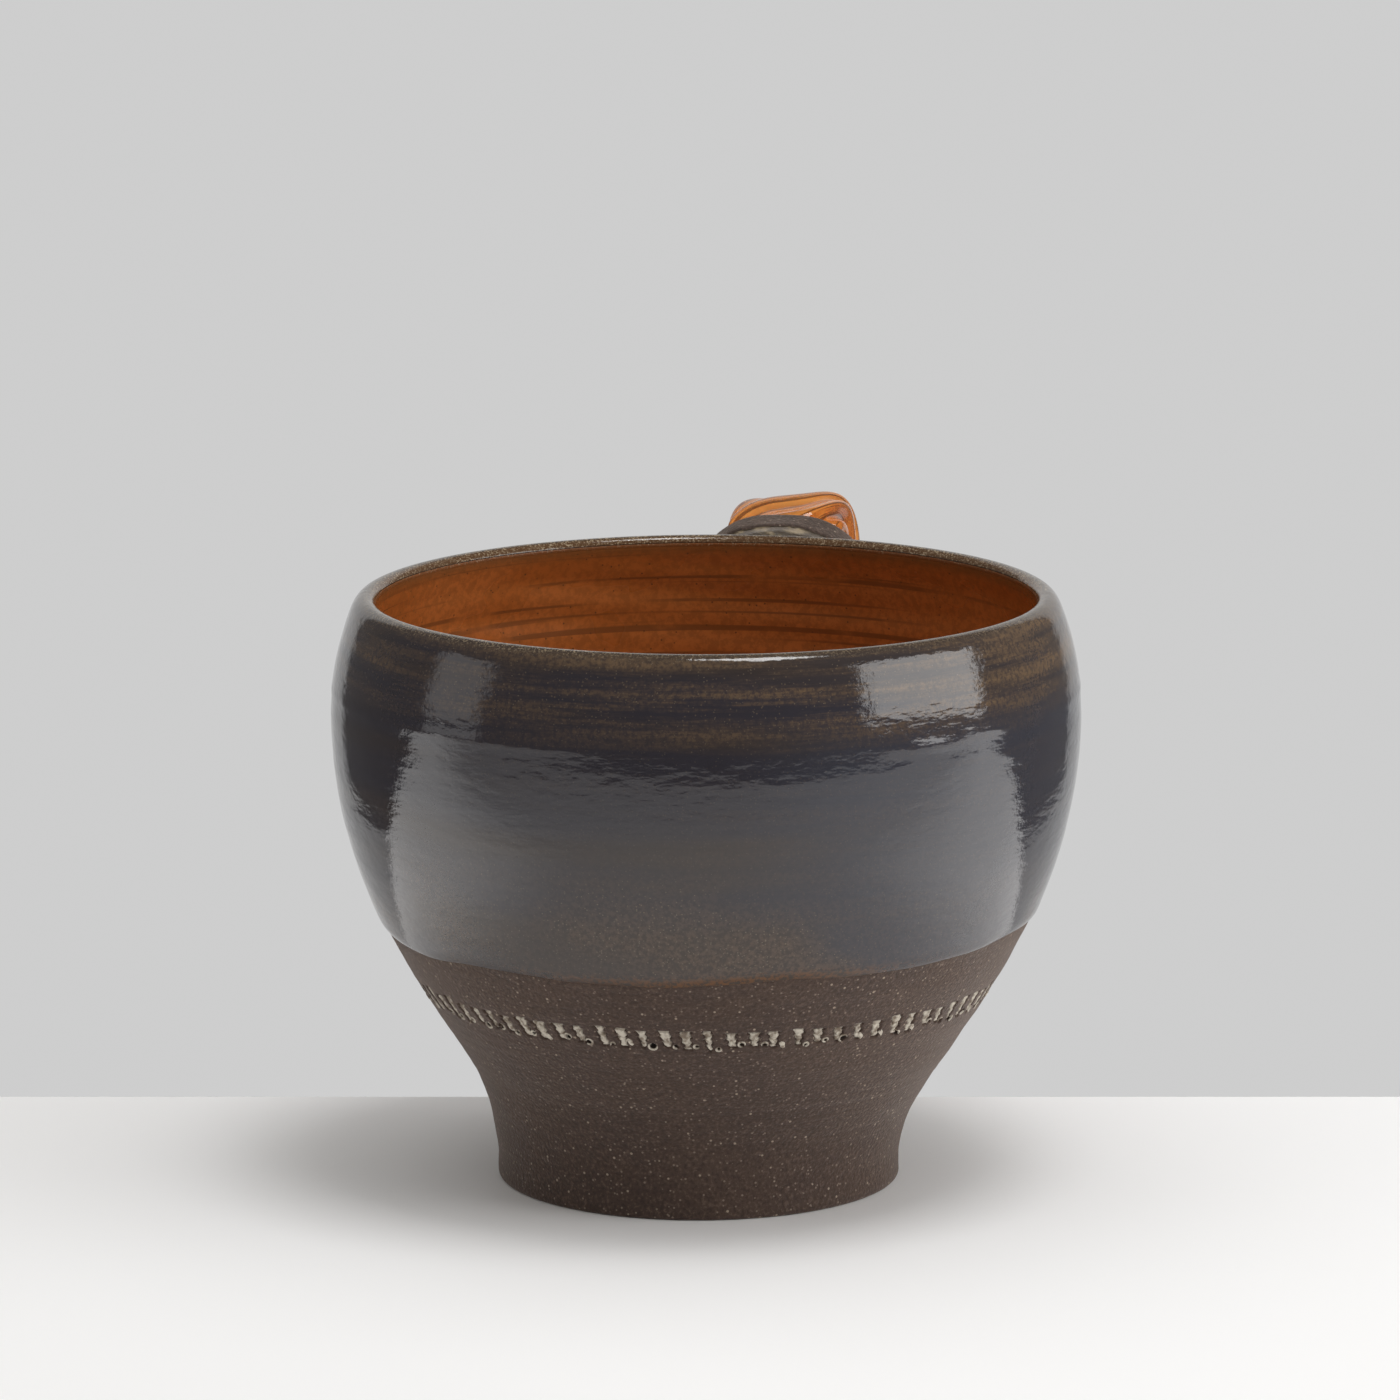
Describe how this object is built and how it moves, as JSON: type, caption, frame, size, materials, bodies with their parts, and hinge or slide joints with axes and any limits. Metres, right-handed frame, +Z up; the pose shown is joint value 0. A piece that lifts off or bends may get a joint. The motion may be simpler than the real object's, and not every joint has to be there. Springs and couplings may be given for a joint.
{
  "type": "mug",
  "caption": "Wide wheel-thrown stoneware mug on a narrow waisted foot, dark glossy glaze, amber inside, slip-filled chatter band and a twisted amber glass handle.",
  "frame": {"origin": "middle of the foot's flat base, on the surface that the mug stands on", "axes": "+Z up; the handle stands out towards +Y; +X to the right when looking along +Y"},
  "size_m": [0.11, 0.1482, 0.0906],
  "materials": {
    "clay": "bare matte fired stoneware",
    "dark_glaze": "glossy, streaked dark brown to black",
    "amber_glaze": "glossy, amber brown",
    "slip": "matte cream slip",
    "glass": "clear amber, fire polished",
    "cement": "cast resin"
  },
  "bodies": {
    "root": {"foot": "clay", "bowl": "clay", "outer_glaze": "dark_glaze", "liner_glaze": "amber_glaze", "slip_inlay": "slip", "upper_socket": "clay", "lower_socket": "clay", "upper_cement": "cement", "lower_cement": "cement", "glass_handle": "glass"}
  },
  "joints": []
}
